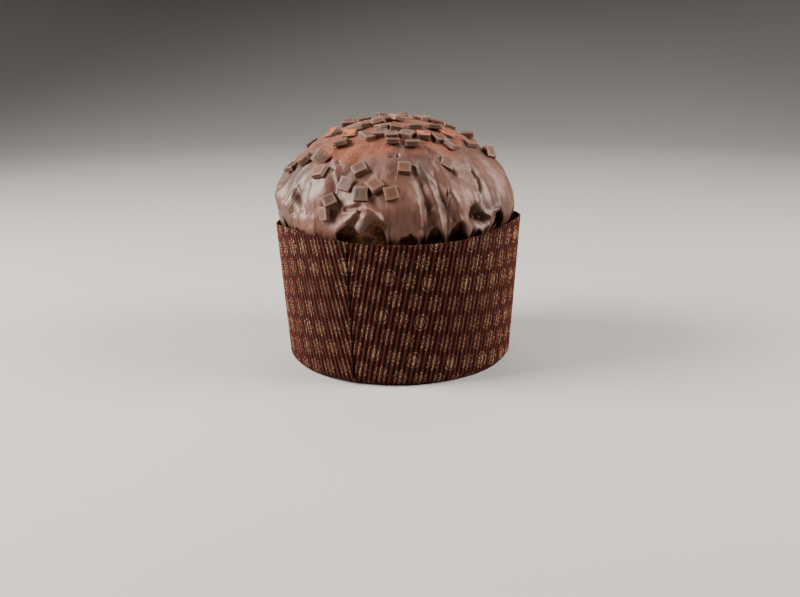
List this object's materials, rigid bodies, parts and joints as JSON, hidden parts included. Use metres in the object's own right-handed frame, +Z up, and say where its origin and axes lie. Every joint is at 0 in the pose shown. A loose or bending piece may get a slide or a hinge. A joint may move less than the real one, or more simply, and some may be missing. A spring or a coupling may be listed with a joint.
{
  "type": "chocolate panettone",
  "caption": "Domed sweet bread in a corrugated paper mould, its dome under a poured chocolate coat with drips, folds and small chocolate squares.",
  "frame": {"origin": "centre of the mould's flat base, on the surface it stands on", "axes": "+Z up; -Y towards the side that holds the paper's seam, which faces the viewer in the picture; +X to the viewer's right"},
  "size_m": [0.17, 0.17, 0.17],
  "materials": {
    "paper_mould": "matte fluted brown paper with a printed gold flower pattern",
    "bread": "matte brown crust",
    "chocolate_coat": "satin milk chocolate, dusted with cocoa on the crown"
  },
  "bodies": {
    "root": {"paper_mould": "paper_mould", "bread": "bread", "chocolate_coat": "chocolate_coat"}
  },
  "joints": []
}
